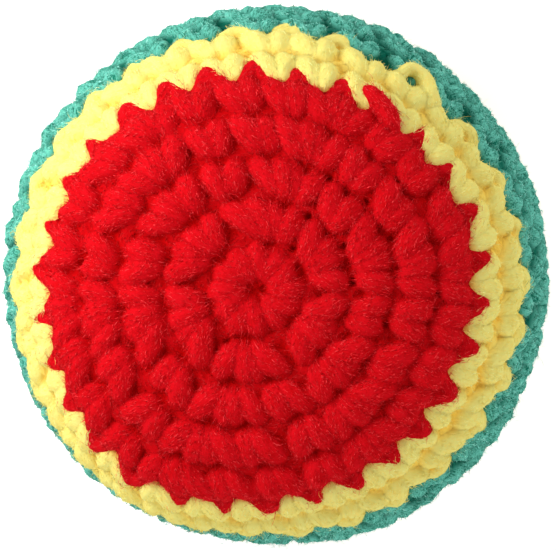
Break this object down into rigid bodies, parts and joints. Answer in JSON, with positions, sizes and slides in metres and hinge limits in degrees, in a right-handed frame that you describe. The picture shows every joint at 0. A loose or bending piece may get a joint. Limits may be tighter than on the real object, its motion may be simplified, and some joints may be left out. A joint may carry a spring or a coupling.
{
  "type": "crocheted footbag",
  "caption": "Round stuffed footbag with a crocheted yarn cover in bands of colour over a cloth liner of pellets, flattened where it rests.",
  "frame": {"origin": "centre of the flattened base, on the resting face", "axes": "+Z along the pole axis, from the base up through the crown's pole"},
  "size_m": [0.0542, 0.054, 0.0376],
  "materials": {
    "red_yarn": "fuzzy acrylic yarn",
    "yellow_yarn": "fuzzy acrylic yarn",
    "green_yarn": "fuzzy acrylic yarn",
    "liner_cloth": "plain woven cotton",
    "tie_thread": "cotton thread",
    "pellets": "smooth moulded pellets"
  },
  "bodies": {
    "root": {"red_crown": "red_yarn", "yellow_upper_ring": "yellow_yarn", "green_belt": "green_yarn", "yellow_lower_ring": "yellow_yarn", "red_base": "red_yarn", "red_crown_start_tail": "red_yarn", "red_crown_end_tail": "red_yarn", "yellow_upper_ring_start_tail": "yellow_yarn", "yellow_upper_ring_end_tail": "yellow_yarn", "green_belt_start_tail": "green_yarn", "green_belt_end_tail": "green_yarn", "yellow_lower_ring_start_tail": "yellow_yarn", "yellow_lower_ring_end_tail": "yellow_yarn", "red_base_start_tail": "red_yarn", "red_base_closing_tail": "red_yarn", "liner_pouch": "liner_cloth", "liner_tie": "tie_thread", "pellet_layer_1": "pellets", "pellet_layer_2": "pellets", "pellet_layer_3": "pellets", "pellet_layer_4": "pellets", "pellet_layer_5": "pellets", "pellet_layer_6": "pellets"}
  },
  "joints": []
}
